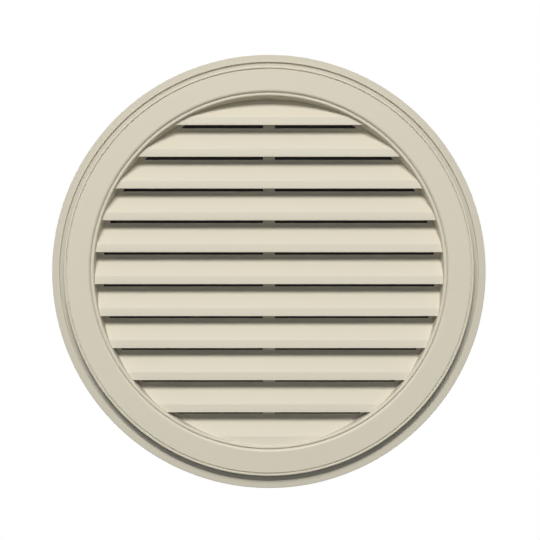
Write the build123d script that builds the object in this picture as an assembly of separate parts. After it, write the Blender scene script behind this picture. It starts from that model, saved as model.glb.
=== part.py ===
from build123d import *
import os
from math import atan2, floor, hypot, sqrt, tan

# Round louvred gable vent of moulded plastic, sizes in millimetres.
# The wall plane is Y = 0, Y points into the wall, Z is up, and the vent's axis is the Y axis.
# A flange with a collar is screwed to the wall, the louvred face snaps into the collar,
# and an insect screen is staked to the back of the louvres.
# The flange and its collar are one moulding, and so are the raised ring and the louvre panel.
# Each is handed in as two solids that meet on a face, so that collision is open behind the flange
# and in front of the louvres.

# Flange and collar
vent_diameter = 558.8
band_width = 9.4
band_height = 4.6
band_edge_round = 0.6
ring_plate = 1.8
ring_wall = 2.4
collar_depth = 24.0
collar_clearance = 0.5
collar_root_step = 0.6
screw_inset = 32.4
screw_hole_diameter = 4.8
screw_count = 8

# Raised ring
face_height = 10.0
face_wall = 3.4
moulded_wall = 2.4
seat_gap = 5.2
wall_lean = 1.6
crest_round = 0.8
crest_width = 2.3
groove_width = 1.8
groove_floor_width = 0.5
groove_depth = 1.9
ring_face_width = 28.2
inner_groove_width = 2.2
inner_groove_depth = 3.4
bead_width = 3.8
bead_drop = 1.2
bead_edge_round = 0.8
bead_round = 2.2
root_width = 7.0
stiffener_count = 24
stiffener_wall = 1.8
fit_clearance = 0.4
rib_headroom = 2.0

# Louvre panel with its sleeve
louvre_recess = 5.4
louvre_depth = 18.0
louvre_pitch = 41.1
lip_height = 10.5
lip_lean = 0.7
lip_fold_round = 1.4
slot_gap = 2.3
top_edge_height = 2.0
first_lip_drop = 37.3
sleeve_taper = 3.6
centre_rib_width = 15.4
end_web_width = 6.6
ledge_width = 2.8

# Snaps that hold the sleeve in the collar
snap_count = 8
snap_width = 12.0
snap_length = 4.0
snap_bite = 1.8
snap_distance = 5.0

# Insect screen and the stakes that hold it
screen_pocket = 3.2
screen_thickness = 0.6
stake_diameter = 2.2
stake_head_diameter = 4.0
stake_head_height = 0.9
side_stake_shares = (-0.62, -0.21, 0.21, 0.62)
rib_stake_shares = (-0.8, -0.4, 0.0, 0.4, 0.8)

# Share of the room there is for the round at the inner edge of the ring's flat
cove_share = 0.48

# How far a fused piece reaches into its carrier, and a cutter past what it cuts
embed = 0.8
overrun = 5.0

# Radii of the steps, from the outside in
vent_radius = vent_diameter / 2
band_inner = vent_radius - band_width
skirt_radius = band_inner - seat_gap
crest_radius = skirt_radius - wall_lean
outer_groove_radius = crest_radius - crest_width
ring_face_outer = outer_groove_radius - groove_width
ring_face_inner = ring_face_outer - ring_face_width
bead_outer = ring_face_inner - inner_groove_width
opening_radius = bead_outer - bead_width
collar_inner = opening_radius + moulded_wall + collar_clearance
collar_outer = collar_inner + ring_wall
screw_circle_radius = vent_radius - screw_inset

# Depths along Y, from the front to the back
front = -band_height - face_height
lip_front = front + louvre_recess
back_plane = lip_front + louvre_depth
screen_seat = back_plane + moulded_wall
sleeve_end = screen_seat + screen_pocket
ring_underside = front + face_wall
locating_rib_top = ring_underside + rib_headroom


def sleeve_inner(depth):
    """Inner radius of the tapered sleeve at a depth along Y."""
    return opening_radius - sleeve_taper * (depth - front) / (sleeve_end - front)


def sleeve_outer(depth):
    """Outer radius of the tapered sleeve at a depth along Y."""
    return sleeve_inner(depth) + moulded_wall


def outer_wall_inside(depth):
    """Inner radius of the raised ring's steep outer wall at a depth along Y."""
    return crest_radius + wall_lean * (depth - front) / (-ring_plate - front) - moulded_wall


def outline(*points):
    """Flat face inside a closed outline."""
    return make_face(Polyline(*points, close=True))


def rounded(face, radius, *points):
    """The face with the corners at these points rounded."""
    corners = [face.vertices().sort_by_distance(Vector(*point))[0] for point in points]
    return fillet(corners, radius)


def around(shape, count, start=0.0):
    """Copies of a shape, evenly spaced about the vent's axis."""
    step = 360 / count
    return [Rot(0, start + step * i, 0) * shape for i in range(count)]


def along_axis(radius, start, end):
    """Cylinder that runs along Y from one depth to another."""
    disc = Plane.XZ.offset(-start) * Circle(radius)
    return extrude(disc, start - end)


def mounting_flange():
    """Flat ring against the wall: a thicker band around the edge, a locating rib and screw holes."""
    section = outline(
        (collar_outer - collar_root_step, -ring_plate),
        (band_inner, -ring_plate),
        (band_inner, -band_height),
        (vent_radius, -band_height),
        (vent_radius, 0),
        (collar_outer, 0),
    )
    section = rounded(section, band_edge_round, (vent_radius, -band_height))
    rib_outer = outer_wall_inside(locating_rib_top) - fit_clearance
    rib = outline(
        (rib_outer, locating_rib_top),
        (rib_outer, -ring_plate + embed),
        (rib_outer - ring_wall, -ring_plate + embed),
        (rib_outer - ring_wall, locating_rib_top),
    )
    ring = revolve(section + rib, Axis.Y)
    hole = along_axis(screw_hole_diameter / 2, -ring_plate - overrun, overrun)
    hole = Pos(screw_circle_radius, 0, 0) * hole
    half_step = 180 / screw_count
    return ring - around(hole, screw_count, half_step)


def wall_collar():
    """Tube that lines the wall opening, with a window for each snap."""
    section = outline(
        (collar_inner, -ring_plate),
        (collar_outer - collar_root_step, -ring_plate),
        (collar_outer, 0),
        (collar_outer, collar_depth),
        (collar_inner, collar_depth),
    )
    window_length = snap_length + 2 * fit_clearance
    window = Box(2 * (ring_wall + overrun), window_length, snap_width + 2 * fit_clearance)
    window = Pos(collar_outer, snap_distance + snap_length / 2, 0) * window
    return revolve(section, Axis.Y) - around(window, snap_count)


def face_ring():
    """Raised ring: a steep outer wall, a groove at both edges, a low bead at the opening and ribs below."""
    groove_middle = outer_groove_radius - groove_width / 2
    bead_crest = front + bead_drop
    bead_edge = (bead_outer, bead_crest)
    bead_inner_edge = (opening_radius, bead_crest)
    cove = (ring_face_inner, front)
    crest = (crest_radius, front)
    section = outline(
        (skirt_radius, -ring_plate),
        crest,
        (outer_groove_radius, front),
        (groove_middle + groove_floor_width / 2, front + groove_depth),
        (groove_middle - groove_floor_width / 2, front + groove_depth),
        (ring_face_outer, front),
        cove,
        (bead_outer, front + inner_groove_depth),
        bead_edge,
        bead_inner_edge,
        (sleeve_inner(lip_front), lip_front),
        (sleeve_outer(lip_front), lip_front),
        (sleeve_outer(lip_front) + root_width, ring_underside),
        (outer_wall_inside(ring_underside), ring_underside),
        (skirt_radius - moulded_wall, -ring_plate),
    )
    section = rounded(section, crest_round, crest)
    section = rounded(section, bead_edge_round, bead_edge)
    section = rounded(section, bead_round, bead_inner_edge)
    cove_turn = atan2(inner_groove_depth, inner_groove_width)
    cove_room = hypot(inner_groove_depth, inner_groove_width) / tan(cove_turn / 2)
    section = rounded(section, cove_share * cove_room, cove)
    return revolve(section, Axis.Y) + stiffeners()


def stiffeners():
    """Radial ribs under the raised ring, clear of the collar and the locating rib."""
    reach = outer_wall_inside(locating_rib_top) - ring_wall - 2 * fit_clearance
    inner = sleeve_outer(lip_front) + root_width / 2
    section = outline(
        (inner, ring_underside - embed),
        (reach, ring_underside - embed),
        (reach, -ring_plate - fit_clearance),
        (inner, -ring_plate - fit_clearance),
    )
    rib = extrude(section, stiffener_wall / 2, both=True)
    return around(rib, stiffener_count)


def sleeve():
    """Tapered tube around the louvres."""
    section = outline(
        (sleeve_inner(lip_front), lip_front),
        (sleeve_inner(sleeve_end), sleeve_end),
        (sleeve_outer(sleeve_end), sleeve_end),
        (sleeve_outer(lip_front), lip_front),
    )
    return revolve(section, Axis.Y)


def blade(fold, lip_bottom):
    """One louvre: a lip that leans back a little, a slope up to the back plane and a short edge on top."""
    slope_height = louvre_pitch - lip_height - top_edge_height - slot_gap
    fold_drop = moulded_wall * tan(atan2(louvre_depth - lip_lean, slope_height) / 2)
    fold_front = lip_front + lip_lean
    crown = fold + slope_height
    top = crown + top_edge_height
    section = outline(
        (lip_front, lip_bottom),
        (fold_front, fold),
        (back_plane, crown),
        (back_plane, top),
        (screen_seat, top),
        (screen_seat, crown - fold_drop),
        (fold_front + moulded_wall, fold - fold_drop),
        (lip_front + moulded_wall, lip_bottom),
    )
    section = rounded(section, lip_fold_round, (fold_front, fold))
    return extrude(Plane.YZ * section, opening_radius, both=True)


def louvres():
    """All the blades, trimmed to end inside the sleeve's wall. The lowest lip runs down into the sleeve."""
    first_fold = opening_radius - first_lip_drop + lip_height
    last = floor((first_fold + opening_radius) / louvre_pitch)
    folds = [first_fold - louvre_pitch * i for i in range(last + 1)]
    blades = [blade(fold, fold - lip_height) for fold in folds[:last]]
    blades.append(blade(folds[last], -opening_radius - overrun))
    trim = outline(
        (0, lip_front - overrun),
        (sleeve_inner(lip_front - overrun) + embed, lip_front - overrun),
        (sleeve_inner(sleeve_end) + embed, sleeve_end),
        (0, sleeve_end),
    )
    return [b & revolve(trim, Axis.Y) for b in blades]


def back_frame():
    """Upright centre rib, end webs and a narrow ledge in the plane of the blades' top edges."""
    wall_radius = sleeve_inner(screen_seat)
    window = Circle(wall_radius - ledge_width)
    window &= Pos(end_web_width, 0) * Circle(wall_radius)
    window &= Pos(-end_web_width, 0) * Circle(wall_radius)
    frame = Circle(wall_radius + embed) - window + Rectangle(centre_rib_width, 2 * wall_radius)
    return extrude(Plane.XZ.offset(-back_plane) * frame, -moulded_wall)


def stake_places():
    """X and Z of the stakes: along the centre rib, and in the middle of the webs on both sides."""
    wall_radius = sleeve_inner(screen_seat)
    places = [(0, share * wall_radius) for share in rib_stake_shares]
    for share in side_stake_shares:
        height = share * wall_radius
        reach = sqrt(wall_radius**2 - height**2) - end_web_width / 2
        places += [(reach, height), (-reach, height)]
    return places


def stakes():
    """Pegs through the screen, with their ends melted to flat heads."""
    head_seat = screen_seat + screen_thickness
    peg = along_axis(stake_diameter / 2, screen_seat - embed, head_seat + stake_head_height)
    head = along_axis(stake_head_diameter / 2, head_seat, head_seat + stake_head_height)
    return [Pos(x, 0, z) * (peg + head) for x, z in stake_places()]


def snaps():
    """Wedges on the sleeve: a ramp to the back, and a flat front that catches in the collar's window."""
    tip = collar_inner + snap_bite
    end = snap_distance + snap_length
    section = outline(
        (sleeve_inner(snap_distance) + embed, snap_distance),
        (tip, snap_distance),
        (sleeve_outer(end), end),
        (sleeve_inner(end) + embed, end),
    )
    return around(extrude(section, snap_width / 2, both=True), snap_count)


def louvre_panel():
    """Sleeve with the fixed blades, the frame behind them, the stakes and the snaps."""
    return sleeve() + louvres() + back_frame() + stakes() + snaps()


def insect_screen():
    """Round sheet of fine mesh on the back of the louvres, pierced for the stakes."""
    sheet = along_axis(sleeve_inner(sleeve_end) - fit_clearance, screen_seat, screen_seat + screen_thickness)
    hole_radius = (stake_diameter + fit_clearance) / 2
    hole = along_axis(hole_radius, screen_seat - overrun, screen_seat + overrun)
    return sheet - [Pos(x, 0, z) * hole for x, z in stake_places()]


os.makedirs("parts", exist_ok=True)
export_step(mounting_flange(), "parts/mounting_flange.step")
export_step(wall_collar(), "parts/wall_collar.step")
export_step(face_ring(), "parts/face_ring.step")
export_step(louvre_panel(), "parts/louvre_panel.step")
export_step(insect_screen(), "parts/insect_screen.step")
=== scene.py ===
from math import atan2, cos, pi, radians, sin, sqrt, tan

import bmesh
import bpy
from mathutils import Matrix, Vector


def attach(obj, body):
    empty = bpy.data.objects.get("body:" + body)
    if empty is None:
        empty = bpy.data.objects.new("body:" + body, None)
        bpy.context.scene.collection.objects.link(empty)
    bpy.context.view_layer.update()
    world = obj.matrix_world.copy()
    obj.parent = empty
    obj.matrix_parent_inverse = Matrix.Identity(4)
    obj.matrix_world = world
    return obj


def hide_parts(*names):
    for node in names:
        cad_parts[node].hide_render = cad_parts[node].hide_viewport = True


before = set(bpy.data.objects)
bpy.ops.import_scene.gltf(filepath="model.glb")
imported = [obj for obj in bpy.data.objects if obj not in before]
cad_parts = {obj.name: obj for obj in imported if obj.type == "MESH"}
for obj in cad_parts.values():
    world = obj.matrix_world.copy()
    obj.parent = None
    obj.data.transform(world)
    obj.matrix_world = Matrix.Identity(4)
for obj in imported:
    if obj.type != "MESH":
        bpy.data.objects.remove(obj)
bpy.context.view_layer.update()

# Mounting flange: a flat ring of cream plastic, injection moulded, with a thicker band around its edge.
# Eight screws hold it against the wall, and a low rib on its front centres the raised ring.
# It is a shade deeper than the face, and the gutter inside the band is painted darker, a painted shade in that
# recess.
mm = 0.001
same_point = 1e-6
turn_steps, round_steps = 240, 6
band_outer, band_inner, band_front = 279.4, 270.0, -4.6
band_round, band_inner_round, back_round = 0.6, 0.4, 0.3
plate_front, wall_plane, gutter_round = -1.8, 0.0, 0.2
collar_outer, collar_root = 230.2, 229.6
rib_outer, rib_inner, rib_top = 261.08, 258.68, -9.2
rib_round, rib_root_round = 0.4, 0.5
screw_circle, screw_hole, screw_count = 247.0, 2.4, 8
drill_start, drill_end = -8.0, 4.0
sharp_fold = radians(32)
cream = (0.698, 0.655, 0.531)
cream_deep = (0.677, 0.632, 0.506)
cloud_share, wave_height = 0.7, 0.5
satin, satin_drift = 0.36, 0.1
flange_shade = 0.905
# Painted shade for the gutter inside the band: a darker tint, unevenly strong.
gutter_shade_tint = (0.85, 0.86, 0.88, 1.0)
gutter_shade_least, gutter_shade_drift = 0.8, 0.4


class Flow:
    """One output in a material's nodes. Sums and products of flows add their Math nodes."""

    def __init__(self, tree, socket=None):
        self.tree = tree
        self.socket = socket

    def add(self, kind, settings=None, sockets=None, out=0):
        """A new node: its settings first, then the values or links of its sockets. Gives one output."""
        node = self.tree.nodes.new(kind)
        for name, value in (settings or {}).items():
            setattr(node, name, value)
        for name, value in (sockets or {}).items():
            if isinstance(value, Flow):
                self.tree.links.new(value.socket, node.inputs[name])
            else:
                node.inputs[name].default_value = value
        return Flow(self.tree, node.outputs[out] if len(node.outputs) else None)

    def beside(self, out):
        """Another output of the same node."""
        return Flow(self.tree, self.socket.node.outputs[out])

    def maths(self, operation, first, second=0.0):
        return self.add("ShaderNodeMath", {"operation": operation}, {0: first, 1: second})

    def __add__(self, other):
        return self.maths("ADD", self, other)

    __radd__ = __add__

    def __sub__(self, other):
        return self.maths("SUBTRACT", self, other)

    def __rsub__(self, other):
        return self.maths("SUBTRACT", other, self)

    def __mul__(self, other):
        return self.maths("MULTIPLY", self, other)

    __rmul__ = __mul__

    def __gt__(self, other):
        return self.maths("GREATER_THAN", self, other)

    def __lt__(self, other):
        return self.maths("LESS_THAN", self, other)

    def sine(self):
        return self.maths("SINE", self)

    def size(self):
        return self.maths("ABSOLUTE", self)


def new_finish(name):
    """An empty material, the start of its node flow and its object coordinates."""
    material = bpy.data.materials.new(name)
    material.use_nodes = True
    material.node_tree.nodes.clear()
    flow = Flow(material.node_tree)
    place = flow.add("ShaderNodeTexCoord", out="Object")
    return material, flow, place


def noise(flow, place, scale, detail):
    """Soft noise from 0 to 1, with its grain given in grains per metre."""
    return flow.add("ShaderNodeTexNoise", None, {"Vector": place, "Scale": scale, "Detail": detail})


def length_of(flow, vector):
    """How long a vector is."""
    return flow.add("ShaderNodeVectorMath", {"operation": "LENGTH"}, {0: vector}, out="Value")


def mixed(flow, factor, first, second, blend="MIX"):
    """Two colours, mixed by a factor."""
    return flow.add(
        "ShaderNodeMix",
        {"data_type": "RGBA", "blend_type": blend},
        {"Factor": factor, "A": first, "B": second},
        out="Result",
    )


def moulded_cream(name, shade, with_gutter_shade=False):
    """Satin plastic coloured through: faint clouds in the colour, a fine moulded grain and uneven gloss."""
    material, flow, place = new_finish(name)
    light, deep = [[shade * part for part in tint] + [1.0] for tint in (cream, cream_deep)]
    clouds = noise(flow, place, scale=9.0, detail=3.0)
    grain = noise(flow, place, scale=900.0, detail=2.0)
    waves = noise(flow, place, scale=26.0, detail=2.0)
    colour = mixed(flow, cloud_share * clouds + (1 - cloud_share) * grain, deep, light)
    # Painted shade: a tint darkens the gutter inside the band, the recess between the raised ring and the band.
    if with_gutter_shade:
        depth = flow.add("ShaderNodeSeparateXYZ", None, {0: place}, out="Y")
        flat = flow.add("ShaderNodeVectorMath", {"operation": "MULTIPLY"}, {0: place, 1: (1, 0, 1)})
        radius = length_of(flow, flat)
        gutter = (radius < band_inner * mm) * (depth < plate_front / 2 * mm)
        painted_shade = gutter * (gutter_shade_least + gutter_shade_drift * waves)
        colour = mixed(flow, painted_shade, colour, gutter_shade_tint, blend="MULTIPLY")
    bump = flow.add(
        "ShaderNodeBump",
        None,
        {"Strength": 0.16, "Distance": 0.2 * mm, "Height": grain + wave_height * waves},
    )
    plastic = flow.add(
        "ShaderNodeBsdfPrincipled",
        None,
        {
            "Base Color": colour,
            "Roughness": satin + satin_drift * waves,
            "Specular IOR Level": 0.27,
            "Normal": bump,
        },
    )
    flow.add("ShaderNodeOutputMaterial", None, {"Surface": plastic})
    return material


def round_corners(bm, verts, corners, segments):
    """Rounds the corners of a flat outline. The last number of a corner is how far its round reaches, in mm."""
    for reach in sorted({corner[2] for corner in corners if corner[2]}):
        alike = [v for v, corner in zip(verts, corners) if corner[2] == reach]
        bmesh.ops.bevel(
            bm, geom=alike, offset=reach * mm, offset_type="OFFSET", segments=segments, profile=0.5,
            affect="VERTICES", material=-1,
        )


def turned(corners, steps=turn_steps, closed=True):
    """A shape turned about the vent's axis. Corners are radius, depth and how far a round reaches, in mm."""
    bm = bmesh.new()
    verts = [bm.verts.new((r * mm, y * mm, 0)) for r, y, _ in corners]
    bm.faces.new(verts)
    round_corners(bm, verts, corners, round_steps)
    bmesh.ops.delete(bm, geom=bm.faces[:], context="FACES_ONLY")
    if not closed:
        on_axis = [e for e in bm.edges if all(abs(v.co.x) < same_point for v in e.verts)]
        bmesh.ops.delete(bm, geom=on_axis, context="EDGES")
    hold, same_length = 0.35 * mm, 1e-7
    for edge in bm.edges[:]:
        length = edge.calc_length()
        if length > 4 * hold:
            first, last = edge.verts
            bmesh.utils.edge_split(edge, first, hold / length)
            rest = next(e for e in last.link_edges if abs(e.calc_length() - (length - hold)) < same_length)
            bmesh.utils.edge_split(rest, last, hold / (length - hold))
    bmesh.ops.spin(
        bm, geom=bm.verts[:] + bm.edges[:], cent=(0, 0, 0), axis=(0, 1, 0), angle=2 * pi, steps=steps,
        use_merge=True,
    )
    bmesh.ops.remove_doubles(bm, verts=bm.verts[:], dist=same_point)
    bmesh.ops.recalc_face_normals(bm, faces=bm.faces[:])
    for face in bm.faces:
        face.smooth = True
    return bm


def about_axis(count, start=0.0):
    """Turns about the vent's axis, evenly spaced."""
    return [Matrix.Rotation(radians(start) + 2 * pi * i / count, 4, "Y") for i in range(count)]


def peg(bm, radius, start, end, turn, segments=32):
    """A closed round peg along the vent's axis, in mm, placed by a matrix."""
    lie = Matrix.Rotation(pi / 2, 4, "X")
    middle = Matrix.Translation((0, (start + end) / 2 * mm, 0))
    bmesh.ops.create_cone(
        bm, cap_ends=True, segments=segments, radius1=radius * mm, radius2=radius * mm,
        depth=(end - start) * mm, matrix=turn @ middle @ lie,
    )


def carved(bm, tool, operation):
    """The shape after an exact cut by, or overlap with, a tool. Both are used up."""
    objects = []
    for shape in (bm, tool):
        mesh = bpy.data.meshes.new("carving")
        shape.to_mesh(mesh)
        shape.free()
        objects.append(bpy.data.objects.new("carving", mesh))
        bpy.context.scene.collection.objects.link(objects[-1])
    body, cutter = objects
    cut = body.modifiers.new("cut", "BOOLEAN")
    cut.operation = operation
    cut.object = cutter
    cut.solver = "EXACT"
    bpy.context.view_layer.update()
    result = bpy.data.meshes.new_from_object(body.evaluated_get(bpy.context.evaluated_depsgraph_get()))
    done = bmesh.new()
    done.from_mesh(result)
    bmesh.ops.remove_doubles(done, verts=done.verts[:], dist=same_point)
    for spare in objects:
        bpy.data.meshes.remove(spare.data)
    bpy.data.meshes.remove(result)
    return done


def hand_in(name, bm, finish, node):
    """The shape as a piece that rides on the vent, in its finish, in place of its plain solid."""
    mesh = bpy.data.meshes.new(name)
    bm.to_mesh(mesh)
    bm.free()
    mesh.materials.append(finish)
    mesh.set_sharp_from_angle(angle=sharp_fold)
    piece = bpy.data.objects.new(name, mesh)
    bpy.context.scene.collection.objects.link(piece)
    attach(piece, "root")
    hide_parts(node)
    return piece


flange_finish = moulded_cream("flange_cream", flange_shade, with_gutter_shade=True)
flange = turned([
    (collar_root, plate_front, 0),
    (rib_inner, plate_front, rib_root_round),
    (rib_inner, rib_top, rib_round),
    (rib_outer, rib_top, rib_round),
    (rib_outer, plate_front, rib_root_round),
    (band_inner, plate_front, gutter_round),
    (band_inner, band_front, band_inner_round),
    (band_outer, band_front, band_round),
    (band_outer, wall_plane, back_round),
    (collar_outer, wall_plane, 0),
])
drill = bmesh.new()
screw_place = Matrix.Translation((screw_circle * mm, 0, 0))
for turn in about_axis(screw_count, 180 / screw_count):
    peg(drill, screw_hole, drill_start, drill_end, turn @ screw_place)
flange = carved(flange, drill, "DIFFERENCE")
hand_in("mounting_flange_skin", flange, flange_finish, "mounting_flange")

# Wall collar: the tube behind the flange, moulded in one with it, that lines the round cut-out in the wall.
# Eight windows in it take the snaps of the louvre panel.
collar_inner, collar_end, collar_end_round = 227.8, 24.0, 0.7
snap_count, snap_start, snap_end, snap_half_width = 8, 5.0, 9.0, 6.0
window_clearance, window_cut = 0.4, 15.0


def blocks(bm, size, place, turns):
    """Square-edged blocks of one size, in mm, at a place that is turned about the vent's axis."""
    stretch = Matrix.Diagonal([side * mm for side in size] + [1])
    shift = Matrix.Translation([part * mm for part in place])
    for turn in turns:
        bmesh.ops.create_cube(bm, size=1.0, matrix=turn @ shift @ stretch)


collar = turned([
    (collar_inner, plate_front, 0),
    (collar_root, plate_front, 0),
    (collar_outer, wall_plane, 0),
    (collar_outer, collar_end, collar_end_round),
    (collar_inner, collar_end, collar_end_round),
])
windows = bmesh.new()
window_length = snap_end - snap_start + 2 * window_clearance
window_width = 2 * (snap_half_width + window_clearance)
window_place = (collar_outer, (snap_start + snap_end) / 2, 0)
blocks(windows, (window_cut, window_length, window_width), window_place, about_axis(snap_count))
collar = carved(collar, windows, "DIFFERENCE")
hand_in("wall_collar_skin", collar, flange_finish, "wall_collar")

# Raised ring: the broad ring around the louvres, of the same cream plastic, moulded in one with the louvre panel.
# A groove runs inside its outer edge, a groove and a round bead edge the opening, and ribs stiffen it below.
ring_front, ring_underside, lip_front = -14.6, -11.2, -9.2
wall_foot, foot_inner, wall_inner = 264.8, 262.4, 261.23
foot_round, underside_round = 0.2, 0.5
crest, crest_round = 263.2, 0.69
groove_outer, groove_inner, groove_floor = 260.9, 259.1, -12.7
groove_slope, groove_round = 0.65, 0.2
cove, cove_round = 230.9, 1.94
bead_outer, bead_floor, bead_crest, opening = 228.7, -11.2, -13.4, 224.9
bead_outer_round, bead_inner_round = 0.8, 1.88
sleeve_end, sleeve_taper, moulded_wall, root_width = 14.4, 3.6, 2.4, 7.0
stiffener_count, stiffener_wall = 24, 1.8
stiffener_inner, stiffener_outer, stiffener_end = 230.13, 258.28, -2.2
embed = 0.8


def sleeve_radius(depth):
    """Inner radius of the slightly tapered sleeve at a depth."""
    return opening - sleeve_taper * (depth - ring_front) / (sleeve_end - ring_front)


face_finish = moulded_cream("face_cream", 1.0)
ring = turned([
    (wall_foot, plate_front, foot_round),
    (crest, ring_front, crest_round),
    (groove_outer, ring_front, groove_round),
    (groove_outer - groove_slope, groove_floor, groove_round),
    (groove_inner + groove_slope, groove_floor, groove_round),
    (groove_inner, ring_front, groove_round),
    (cove, ring_front, cove_round),
    (bead_outer, bead_floor, 0),
    (bead_outer, bead_crest, bead_outer_round),
    (opening, bead_crest, bead_inner_round),
    (sleeve_radius(lip_front), lip_front, 0),
    (sleeve_radius(lip_front) + moulded_wall, lip_front, 0),
    (sleeve_radius(lip_front) + moulded_wall + root_width, ring_underside, underside_round),
    (wall_inner, ring_underside, underside_round),
    (foot_inner, plate_front, foot_round),
])
stiffener_start = ring_underside - embed
stiffener_size = (stiffener_outer - stiffener_inner, stiffener_end - stiffener_start, stiffener_wall)
stiffener_place = ((stiffener_outer + stiffener_inner) / 2, (stiffener_end + stiffener_start) / 2, 0)
blocks(ring, stiffener_size, stiffener_place, about_axis(stiffener_count))
hand_in("raised_ring", ring, face_finish, "face_ring")

# Louvre panel: eleven fixed blades across a round sleeve, moulded in one with the raised ring.
# Each blade has an upright lip in front and slopes up to the back, where a rib and webs tie the blades together.
# Stakes on the rib and webs hold the insect screen, and snaps on the sleeve hold the face in the collar.
blade_count, pitch, first_fold = 11, 41.1, 198.1
lip_height, lip_lean, slope_height, top_edge = 10.5, 0.7, 26.3, 2.0
lip_edge_round, fold_round, crown_round, top_edge_round = 0.1, 0.45, 0.3, 0.25
back_plane, screen_seat = 8.8, 11.2
fold_front = lip_front + lip_lean
fold_drop = moulded_wall * tan(atan2(back_plane - fold_front, slope_height) / 2)
fold_steps = 5
overrun = 5.0
sleeve_end_round = 0.4
rib_width, end_web, ledge, web_inset = 15.4, 6.6, 2.8, 0.05


def new_verts(grown):
    """The points among what an extrusion gives."""
    return [part for part in grown["geom"] if isinstance(part, bmesh.types.BMVert)]


def prism(bm, corners, half_width, matrix=Matrix()):
    """A closed prism across X from a Y and Z outline, in mm. Each corner gives how far its round reaches."""
    verts = [bm.verts.new(matrix @ Vector((-half_width * mm, y * mm, z * mm))) for y, z, _ in corners]
    bm.faces.new(verts)
    round_corners(bm, verts, corners, fold_steps)
    start = next(f for f in bm.faces if f.is_valid and any(v in f.verts for v in verts if v.is_valid))
    grown = bmesh.ops.extrude_face_region(bm, geom=[start], use_keep_orig=True)
    across = matrix.to_3x3() @ Vector((2 * half_width * mm, 0, 0))
    bmesh.ops.translate(bm, verts=new_verts(grown), vec=across)


def put_in(bm, other):
    """Adds another shape to this one, and uses it up."""
    mesh = bpy.data.meshes.new("spare")
    other.to_mesh(mesh)
    other.free()
    bm.from_mesh(mesh)
    bpy.data.meshes.remove(mesh)


blades = bmesh.new()
for i in range(blade_count):
    fold = first_fold - pitch * i
    crown = fold + slope_height
    lowest = i == blade_count - 1
    lip_bottom = -opening - overrun if lowest else fold - lip_height
    prism(blades, [
        (lip_front, lip_bottom, lip_edge_round),
        (fold_front, fold, fold_round),
        (back_plane, crown, crown_round),
        (back_plane, crown + top_edge, top_edge_round),
        (screen_seat, crown + top_edge, 0),
        (screen_seat, crown - fold_drop, 0),
        (fold_front + moulded_wall, fold - fold_drop, 0),
        (lip_front + moulded_wall, lip_bottom, 0),
    ], opening + overrun)
bmesh.ops.recalc_face_normals(blades, faces=blades.faces[:])
core_front = lip_front - overrun
core = turned([
    (0, core_front, 0),
    (sleeve_radius(core_front) + embed, core_front, 0),
    (sleeve_radius(sleeve_end) + embed, sleeve_end, 0),
    (0, sleeve_end, 0),
], closed=False)
panel = carved(blades, core, "INTERSECT")
for face in panel.faces:
    face.smooth = False
sleeve = turned([
    (sleeve_radius(lip_front), lip_front, 0),
    (sleeve_radius(sleeve_end), sleeve_end, sleeve_end_round),
    (sleeve_radius(sleeve_end) + moulded_wall, sleeve_end, sleeve_end_round),
    (sleeve_radius(lip_front) + moulded_wall, lip_front, 0),
])
put_in(panel, sleeve)

web = bmesh.new()
wall_radius = sleeve_radius(screen_seat)
lie = Matrix.Rotation(pi / 2, 4, "X")
bmesh.ops.create_circle(web, segments=turn_steps, radius=(wall_radius + embed) * mm, matrix=lie)
inner = bmesh.ops.create_circle(web, segments=turn_steps, radius=(wall_radius - ledge) * mm, matrix=lie)
for vert in inner["verts"]:
    turn = atan2(vert.co.z, vert.co.x)
    side = sqrt(wall_radius**2 - (end_web * sin(turn))**2) - end_web * abs(cos(turn))
    reach = min(wall_radius - ledge, side) * mm
    vert.co = (reach * cos(turn), 0, reach * sin(turn))
bmesh.ops.bridge_loops(web, edges=web.edges[:])
web_wall = screen_seat - back_plane - 2 * web_inset
grown = bmesh.ops.extrude_face_region(web, geom=web.faces[:], use_keep_orig=True)
bmesh.ops.translate(web, verts=new_verts(grown), vec=(0, web_wall * mm, 0))
bmesh.ops.translate(web, verts=web.verts[:], vec=(0, (back_plane + web_inset) * mm, 0))
rib_place = (0, (back_plane + screen_seat) / 2, 0)
blocks(web, (rib_width, web_wall, 2 * wall_radius), rib_place, [Matrix()])
bmesh.ops.recalc_face_normals(web, faces=web.faces[:])
put_in(panel, web)

stake_radius, stake_head, stake_head_height, stake_root = 1.1, 2.0, 0.9, 0.7
stake_seat_round, stake_head_round, stake_steps = 0.2, 0.7, 24
screen_thickness = 0.6
rib_heights = (-0.8, -0.4, 0.0, 0.4, 0.8)
web_heights = (-0.62, -0.21, 0.21, 0.62)
places = [(0, share * wall_radius) for share in rib_heights]
for share in web_heights:
    reach = sqrt(wall_radius**2 - (share * wall_radius)**2) - end_web / 2
    places += [(reach, share * wall_radius), (-reach, share * wall_radius)]
head_seat = screen_seat + screen_thickness
head_top = head_seat + stake_head_height
stake = turned([
    (0, screen_seat - stake_root, 0),
    (stake_radius, screen_seat - stake_root, 0),
    (stake_radius, head_seat, 0),
    (stake_head, head_seat, stake_seat_round),
    (stake_head, head_top, stake_head_round),
    (0, head_top, 0),
], steps=stake_steps, closed=False)
stake_mesh = bpy.data.meshes.new("stake")
stake.to_mesh(stake_mesh)
stake.free()
for x, z in places:
    before = len(panel.verts)
    panel.from_mesh(stake_mesh)
    panel.verts.ensure_lookup_table()
    bmesh.ops.translate(panel, verts=panel.verts[before:], vec=(x * mm, 0, z * mm))
bpy.data.meshes.remove(stake_mesh)

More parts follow.
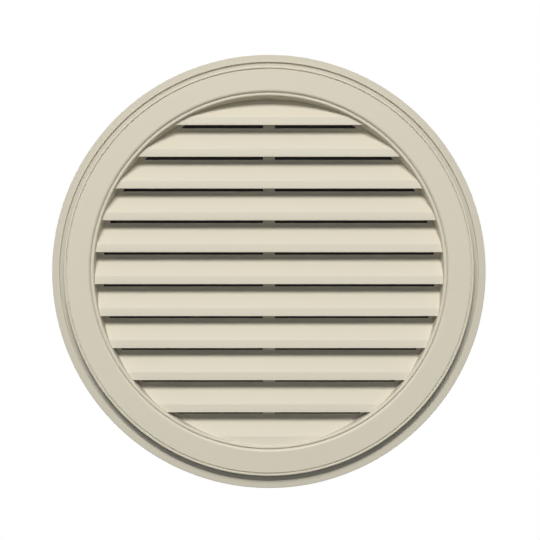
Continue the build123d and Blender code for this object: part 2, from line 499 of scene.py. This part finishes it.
snaps = bmesh.new()
snap_tip, snap_tip_round = 229.6, 0.2
for turn in about_axis(snap_count):
    upright = turn @ Matrix.Rotation(pi / 2, 4, "Y")
    prism(snaps, [
        (snap_start, sleeve_radius(snap_start) + embed, 0),
        (snap_start, snap_tip, snap_tip_round),
        (snap_end, sleeve_radius(snap_end) + moulded_wall, 0),
        (snap_end, sleeve_radius(snap_end) + embed, 0),
    ], snap_half_width, upright)
bmesh.ops.recalc_face_normals(snaps, faces=snaps.faces[:])
put_in(panel, snaps)
hand_in("louvre_blades", panel, face_finish, "louvre_panel")

# Insect screen: a round of charcoal glass-fibre mesh, coated and woven, that closes the louvres from behind.
# The stakes of the louvre panel go through it and are melted over to hold it.
screen_radius, screen_edge_round, rim_width = 220.9, 0.15, 5.0
thread_pitch, hole_edge = 1.6, 0.58
crossing_height = 0.25
thread_rough, hole_rough = 0.6, 0.3
dust_start, dust_end = 0.35, 0.75
charcoal = (0.026, 0.025, 0.023, 1.0)
charcoal_dusty = (0.050, 0.048, 0.045, 1.0)
# Painted shade: the holes of the closed sheet are coloured near-black, for the dark seen through them.
hole_painted_shade = (0.0035, 0.0035, 0.0035, 1.0)


def eased(flow, value, start, end, low=0.0, high=1.0):
    """A value that goes smoothly from low to high as another goes from start to end."""
    return flow.add(
        "ShaderNodeMapRange",
        {"interpolation_type": "SMOOTHSTEP"},
        {"Value": value, "From Min": start, "From Max": end, "To Min": low, "To Max": high},
    )


def woven_charcoal():
    """Dark plain weave: threads over and under, with the holes between them painted near-black as painted shade,
    and a sealed rim.
    """
    material, flow, place = new_finish("woven_charcoal")
    across = flow.add("ShaderNodeSeparateXYZ", None, {0: place}, out="X")
    up = across.beside("Z")
    wave = pi / (thread_pitch * mm)
    warp = (across * wave).sine()
    weft = (up * wave).sine()
    thread = flow.maths("MINIMUM", warp.size(), weft.size())
    hole = thread > hole_edge
    rim = length_of(flow, place) > (screen_radius - rim_width) * mm
    drift = noise(flow, place, scale=11.0, detail=4.0)
    yarn = mixed(flow, eased(flow, drift, dust_start, dust_end), charcoal, charcoal_dusty)
    # The holes get the painted shade colour, except on the sealed rim.
    colour = mixed(flow, hole * (1 - rim), yarn, hole_painted_shade)
    height = (1 - thread) + crossing_height * (warp * weft)
    bump = flow.add(
        "ShaderNodeBump",
        None,
        {"Strength": 0.5, "Distance": 0.3 * mm, "Height": height * (1 - rim)},
    )
    cloth = flow.add(
        "ShaderNodeBsdfPrincipled",
        None,
        {"Base Color": colour, "Roughness": thread_rough + hole_rough * hole, "IOR": 1.4, "Normal": bump},
    )
    flow.add("ShaderNodeOutputMaterial", None, {"Surface": cloth})
    return material


screen = turned([
    (0, screen_seat, 0),
    (screen_radius, screen_seat, screen_edge_round),
    (screen_radius, head_seat, screen_edge_round),
    (0, head_seat, 0),
], closed=False)
screen_cloth = hand_in("insect_screen_cloth", screen, woven_charcoal(), "insect_screen")

# Floor: a round of pale matt board that lies well below the vent and fades to white at its edge.
# It throws little light back up, so the undersides of ring and blades stay dark.
floor_drop, floor_radius = -0.52, 0.8
fade_start, fade_end = 0.62, 0.94
board_grey = (0.86, 0.86, 0.86, 1.0)
board_bounce = (0.10, 0.10, 0.10, 1.0)
plain_white = (1.0, 1.0, 1.0, 1.0)
ground = bmesh.new()
bmesh.ops.create_circle(ground, cap_ends=True, segments=96, radius=floor_radius)
bmesh.ops.translate(ground, verts=ground.verts[:], vec=(0, 0, floor_drop))
floor_mesh = bpy.data.meshes.new("floor")
ground.to_mesh(floor_mesh)
ground.free()
floor = bpy.data.objects.new("floor", floor_mesh)
bpy.context.scene.collection.objects.link(floor)
pale, flow, place = new_finish("pale_floor")
edge = eased(flow, length_of(flow, place), fade_start, fade_end)
matt = flow.add("ShaderNodeBsdfDiffuse", None, {"Color": board_grey})
dim = flow.add("ShaderNodeBsdfDiffuse", None, {"Color": board_bounce})
glow = flow.add("ShaderNodeEmission", None, {"Color": plain_white, "Strength": 1.0})
seen = flow.add("ShaderNodeLightPath", out="Is Camera Ray")
lit = flow.add("ShaderNodeMixShader", None, {0: seen, 1: dim, 2: matt})
faded = flow.add("ShaderNodeMixShader", None, {0: edge * seen, 1: lit, 2: glow})
flow.add("ShaderNodeOutputMaterial", None, {"Surface": faded})
floor_mesh.materials.append(pale)

# Surround: plain white where the camera or a reflection sees it.
# As light it is a dim dome, cool in tone, that is stronger overhead than below.
low_fill, high_fill = 0.033, 0.188
sky_up = (-0.25, -0.1, 0.96)
horizon_start, horizon_end = -0.12, 0.35
cool_white = (0.90, 0.95, 1.0)
surround = bpy.data.worlds.new("white_surround")
bpy.context.scene.world = surround
surround.use_nodes = True
surround.node_tree.nodes.clear()
flow = Flow(surround.node_tree)
camera_ray = flow.add("ShaderNodeLightPath", out="Is Camera Ray")
glossy_ray, clear_ray = [camera_ray.beside(name) for name in ("Is Glossy Ray", "Is Transmission Ray")]
shown = flow.maths("MAXIMUM", flow.maths("MAXIMUM", camera_ray, glossy_ray), clear_ray)
towards_sky = flow.add("ShaderNodeTexCoord", out="Generated")
height = flow.add(
    "ShaderNodeVectorMath", {"operation": "DOT_PRODUCT"}, {0: towards_sky, 1: sky_up}, out="Value",
)
dome = eased(flow, height, horizon_start, horizon_end, low_fill, high_fill)
sky = flow.add("ShaderNodeBackground", None, {"Color": (*cool_white, 1.0), "Strength": dome})
white = flow.add("ShaderNodeBackground", None, {"Color": plain_white, "Strength": 1.0})
backdrop = flow.add("ShaderNodeMixShader", None, {0: shown, 1: sky, 2: white})
flow.add("ShaderNodeOutputWorld", None, {"Surface": backdrop})

# Lamps: a soft key high in front and a little to the left, and a broad weak fill straight in front.
# Two more, behind the vent to its left and right, light the back when it is seen from there.
lamp_distance = 6.0
key_rise, key_left = radians(37), radians(5)
fill_rise = 0.05
rear_side, rear_back, rear_rise = 0.6, 0.75, 0.4
warm_white = (1.0, 0.98, 0.97)


def soft_lamp(name, towards, width, height, energy, tint=(1.0, 1.0, 1.0)):
    """A square-edged soft lamp that faces the vent from a direction. Sizes in metres, energy in watts."""
    light = bpy.data.lights.new(name, "AREA")
    light.shape = "RECTANGLE"
    light.size, light.size_y = width, height
    light.energy = energy
    light.color = tint
    lamp = bpy.data.objects.new(name, light)
    bpy.context.scene.collection.objects.link(lamp)
    lamp.location = towards.normalized() * lamp_distance
    lamp.rotation_euler = towards.to_track_quat("Z", "Y").to_euler()
    lamp.visible_camera = False


key_side = Vector((-sin(key_left) * cos(key_rise), -cos(key_left) * cos(key_rise), sin(key_rise)))
fill_side = Vector((0, -1, fill_rise))
soft_lamp("key_lamp", key_side, width=2.8, height=1.9, energy=320, tint=warm_white)
soft_lamp("front_fill", fill_side, width=5.0, height=3.0, energy=44, tint=cool_white)
for name, side in (("rear_lamp_left", -1), ("rear_lamp_right", 1)):
    rear = Vector((side * rear_side, rear_back, rear_rise))
    soft_lamp(name, rear, width=2.0, height=2.0, energy=155)

# Camera: it stands straight in front of the vent, a little below its middle, and looks up at it.
# The long lens keeps the ring round, and shows just a little of the sleeve's underside.
camera_distance, camera_drop, camera_shift = 2.3, radians(2.3), 1.4
view = bpy.data.cameras.new("camera")
view.sensor_width, view.lens = 36.0, 119.5
camera = bpy.data.objects.new("camera", view)
bpy.context.scene.collection.objects.link(camera)
bpy.context.scene.camera = camera
aim = Vector((camera_shift * mm, ring_front * mm, 0.0))
back = Vector((0, -cos(camera_drop), -sin(camera_drop)))
camera.location = aim + back * camera_distance
camera.rotation_euler = back.to_track_quat("Z", "Y").to_euler()

bpy.context.scene.view_settings.view_transform = "Standard"
